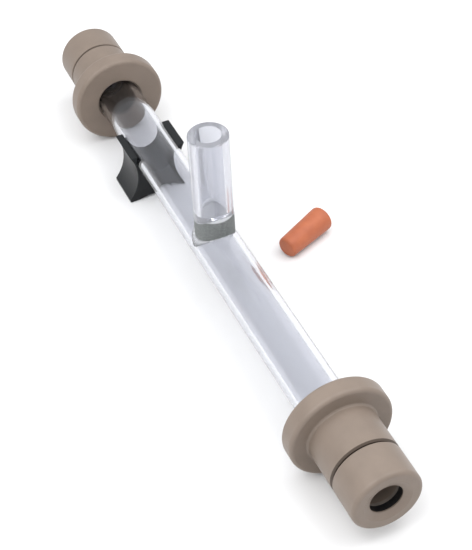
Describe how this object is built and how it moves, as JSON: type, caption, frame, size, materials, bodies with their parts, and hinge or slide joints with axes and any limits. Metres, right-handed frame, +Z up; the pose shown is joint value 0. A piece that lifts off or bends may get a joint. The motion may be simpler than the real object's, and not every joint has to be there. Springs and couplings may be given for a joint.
{
  "type": "carbon dioxide diffuser",
  "caption": "In-line carbon dioxide diffuser: clear water tube with screw-cap compression fittings, gas branch on a porous ceramic, saddle clip with a foot, and a branch plug.",
  "frame": {"origin": "centre of the inlet mouth, at the bottom of the bevel in the inlet cap's face", "axes": "+X along the water path from the inlet to the outlet, +Z up the gas branch, the surface it stands on is at z = -16.8 mm"},
  "size_m": [0.2409, 0.0618, 0.0625],
  "materials": {
    "clear_acrylic": "clear, polished",
    "porous_ceramic": "fine open-pored, unglazed",
    "beige_plastic": "satin moulded",
    "black_seal": "smooth",
    "white_washer": "satin",
    "black_clip": "satin moulded",
    "orange_rubber": "matt"
  },
  "bodies": {
    "tube": {"main_tube": "clear_acrylic", "gas_branch": "clear_acrylic", "diffuser_stone": "porous_ceramic"},
    "clip": {"tube_clip": "black_clip"},
    "plug": {"branch_plug": "orange_rubber"},
    "inlet_fitting": {"inlet_body": "beige_plastic", "inlet_tube_seal": "black_seal"},
    "inlet_gland": {"inlet_gasket": "black_seal", "inlet_washer": "white_washer"},
    "inlet_cap": {"inlet_cap": "beige_plastic"},
    "outlet_fitting": {"outlet_body": "beige_plastic", "outlet_tube_seal": "black_seal"},
    "outlet_gland": {"outlet_gasket": "black_seal", "outlet_washer": "white_washer"},
    "outlet_cap": {"outlet_cap": "beige_plastic"}
  },
  "joints": [
    {"name": "inlet_fitting_pull", "type": "slide", "parent": "tube", "child": "inlet_fitting", "axis": [-1, 0, 0], "range_m": [0, 0.016]},
    {"name": "inlet_cap_travel", "type": "slide", "parent": "inlet_fitting", "child": "inlet_gland", "axis": [-1, 0, 0], "range_m": [0, 0.00675]},
    {"name": "inlet_cap_turn", "type": "hinge", "parent": "inlet_gland", "child": "inlet_cap", "pos_m": [0, 0, 0], "axis": [-1, 0, 0], "range_deg": [0, 1620]},
    {"name": "outlet_fitting_pull", "type": "slide", "parent": "tube", "child": "outlet_fitting", "axis": [1, 0, 0], "range_m": [0, 0.016]},
    {"name": "outlet_cap_travel", "type": "slide", "parent": "outlet_fitting", "child": "outlet_gland", "axis": [1, 0, 0], "range_m": [0, 0.00675]},
    {"name": "outlet_cap_turn", "type": "hinge", "parent": "outlet_gland", "child": "outlet_cap", "pos_m": [0.2385, 0, 0], "axis": [1, 0, 0], "range_deg": [0, 1620]},
    {"name": "clip_swivel", "type": "hinge", "parent": "tube", "child": "clip", "pos_m": [0.0627, 0, 0], "axis": [1, 0, 0], "continuous": true},
    {"name": "plug_lift", "type": "slide", "parent": "tube", "child": "plug", "axis": [0, 0, 1], "range_m": [0, 0.06]}
  ],
  "couplings": [
    {"joint": "inlet_cap_travel", "follows": "inlet_cap_turn", "m_per_rad": 0.00023873},
    {"joint": "outlet_cap_travel", "follows": "outlet_cap_turn", "m_per_rad": 0.00023873}
  ]
}
